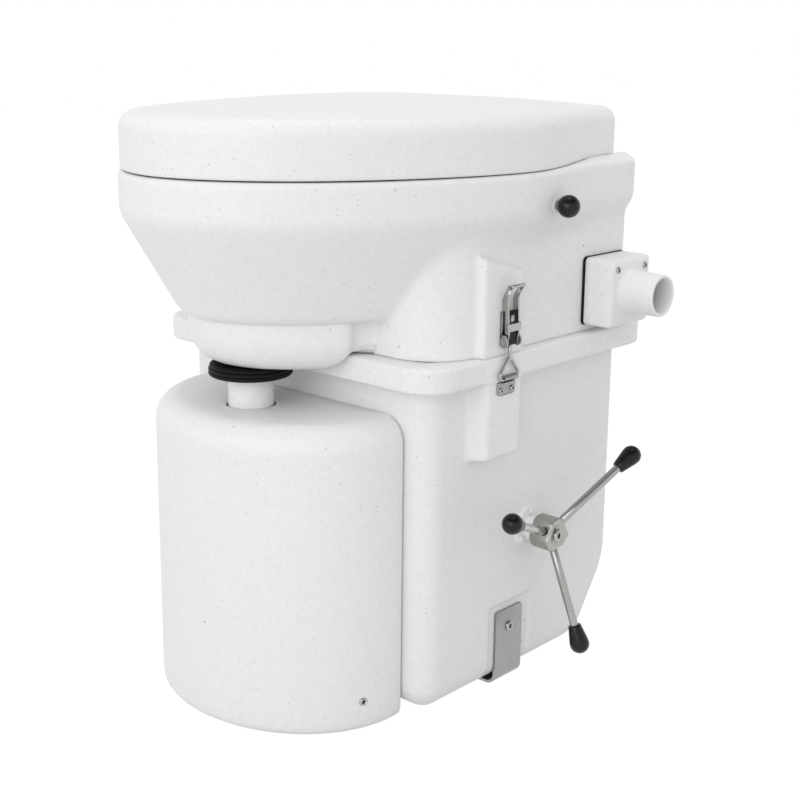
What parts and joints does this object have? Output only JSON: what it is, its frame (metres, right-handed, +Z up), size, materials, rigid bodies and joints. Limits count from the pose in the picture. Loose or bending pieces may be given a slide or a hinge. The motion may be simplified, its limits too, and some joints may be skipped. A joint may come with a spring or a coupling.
{
  "type": "composting toilet",
  "caption": "Free-standing urine-diverting composting toilet with lid, tilting head, trap door, hand-turned agitator, draw latches, vent fan and slide-out bottle.",
  "frame": {"origin": "at floor level, midway between the two foot brackets, at the centre of their four floor-bolt holes", "axes": "+Z up, the front of the seat and the urine bottle towards -Y, +X towards the side with the agitator handle, the vent spout and the trap door's knob"},
  "size_m": [0.4075, 0.459, 0.5255],
  "materials": {
    "polyethylene": "satin white with sparse grey speckles",
    "natural_hdpe": "smooth, slightly milky white",
    "black_rubber": "matte black",
    "stainless": "brushed stainless steel",
    "brass_insert": "turned brass",
    "black_phenolic": "glossy black",
    "dark_plastic": "matte dark grey",
    "white_nylon": "matte off-white"
  },
  "bodies": {
    "base": {"solids_tank": "polyethylene", "tank_seal": "black_rubber", "foot_bracket_right": "stainless", "foot_bracket_left": "stainless", "bracket_screws": "stainless", "bracket_inserts": "brass_insert", "rubber_feet": "black_rubber", "bearing_flange": "white_nylon", "end_bush": "white_nylon", "flange_screws": "white_nylon", "shaft_seals": "black_rubber", "latch_keeper_right": "stainless", "latch_keeper_left": "stainless", "keeper_screws": "stainless", "rear_hinge_base": "stainless", "rear_hinge_pins": "stainless"},
    "bottle": {"bottle_housing": "polyethylene", "bottle_tray": "polyethylene", "housing_screws": "stainless", "urine_bottle": "natural_hdpe", "neck_gasket": "black_rubber"},
    "head": {"head_shell": "polyethylene", "head_box": "polyethylene", "bowl": "polyethylene", "urine_pan": "polyethylene", "trap_seal": "black_rubber", "trap_bushes": "white_nylon", "rear_hinge_head": "stainless", "lid_hinge_blocks": "polyethylene", "lid_hinge_pins": "stainless", "vent_housing": "polyethylene", "vent_gasket": "black_rubber", "vent_screws": "stainless", "bug_screens": "stainless", "fan_frame": "dark_plastic", "power_inlet": "dark_plastic", "intake_cover": "polyethylene", "latch_base_right": "stainless", "latch_base_left": "stainless", "latch_rivets": "stainless"},
    "lid": {"lid": "polyethylene", "lid_bumpers": "black_rubber"},
    "trap_door": {"trap_door": "polyethylene", "trap_door_shaft": "stainless", "trap_door_knob": "black_phenolic"},
    "agitator": {"agitator_shaft": "stainless", "agitator_paddles": "stainless", "spider_hub": "stainless", "spider_bolt": "stainless", "spider_rods": "stainless", "spider_collars": "stainless", "spider_knobs": "black_phenolic"},
    "fan": {"fan_rotor": "dark_plastic"},
    "latch_lever_right": {"latch_lever_right": "stainless", "latch_pad_right": "dark_plastic"},
    "latch_lever_left": {"latch_lever_left": "stainless", "latch_pad_left": "dark_plastic"},
    "latch_loop_right": {"latch_loop_right": "stainless"},
    "latch_loop_left": {"latch_loop_left": "stainless"}
  },
  "joints": [
    {"name": "head_tilt", "type": "hinge", "parent": "base", "child": "head", "pos_m": [0, 0.173, 0.323], "axis": [-1, 0, 0], "range_deg": [0, 75]},
    {"name": "lid_open", "type": "hinge", "parent": "head", "child": "lid", "pos_m": [0, 0.171, 0.474], "axis": [-1, 0, 0], "range_deg": [0, 100]},
    {"name": "trap_door_turn", "type": "hinge", "parent": "head", "child": "trap_door", "pos_m": [0, 0.013, 0.4385], "axis": [1, 0, 0], "range_deg": [0, 62]},
    {"name": "agitator_spin", "type": "hinge", "parent": "base", "child": "agitator", "pos_m": [0, 0.0225, 0.143], "axis": [1, 0, 0], "continuous": true},
    {"name": "fan_spin", "type": "hinge", "parent": "head", "child": "fan", "pos_m": [0.182, 0.109, 0.3545], "axis": [1, 0, 0], "continuous": true},
    {"name": "latch_lever_right_open", "type": "hinge", "parent": "head", "child": "latch_lever_right", "pos_m": [0.1754, -0.042, 0.3296], "axis": [0, 1, 0], "range_deg": [0, 95]},
    {"name": "latch_lever_left_open", "type": "hinge", "parent": "head", "child": "latch_lever_left", "pos_m": [-0.1754, -0.042, 0.3296], "axis": [0, -1, 0], "range_deg": [0, 95]},
    {"name": "latch_loop_right_swing", "type": "hinge", "parent": "base", "child": "latch_loop_right", "pos_m": [0.1756, -0.042, 0.2976], "axis": [0, 1, 0], "range_deg": [0, 24]},
    {"name": "latch_loop_left_swing", "type": "hinge", "parent": "base", "child": "latch_loop_left", "pos_m": [-0.1756, -0.042, 0.2976], "axis": [0, -1, 0], "range_deg": [0, 24]},
    {"name": "bottle_slide", "type": "slide", "parent": "base", "child": "bottle", "axis": [0, -1, 0], "range_m": [0, 0.14]}
  ],
  "couplings": [
    {"joint": "latch_loop_right_swing", "follows": "latch_lever_right_open", "ratio": 0.25},
    {"joint": "latch_loop_left_swing", "follows": "latch_lever_left_open", "ratio": 0.25}
  ]
}
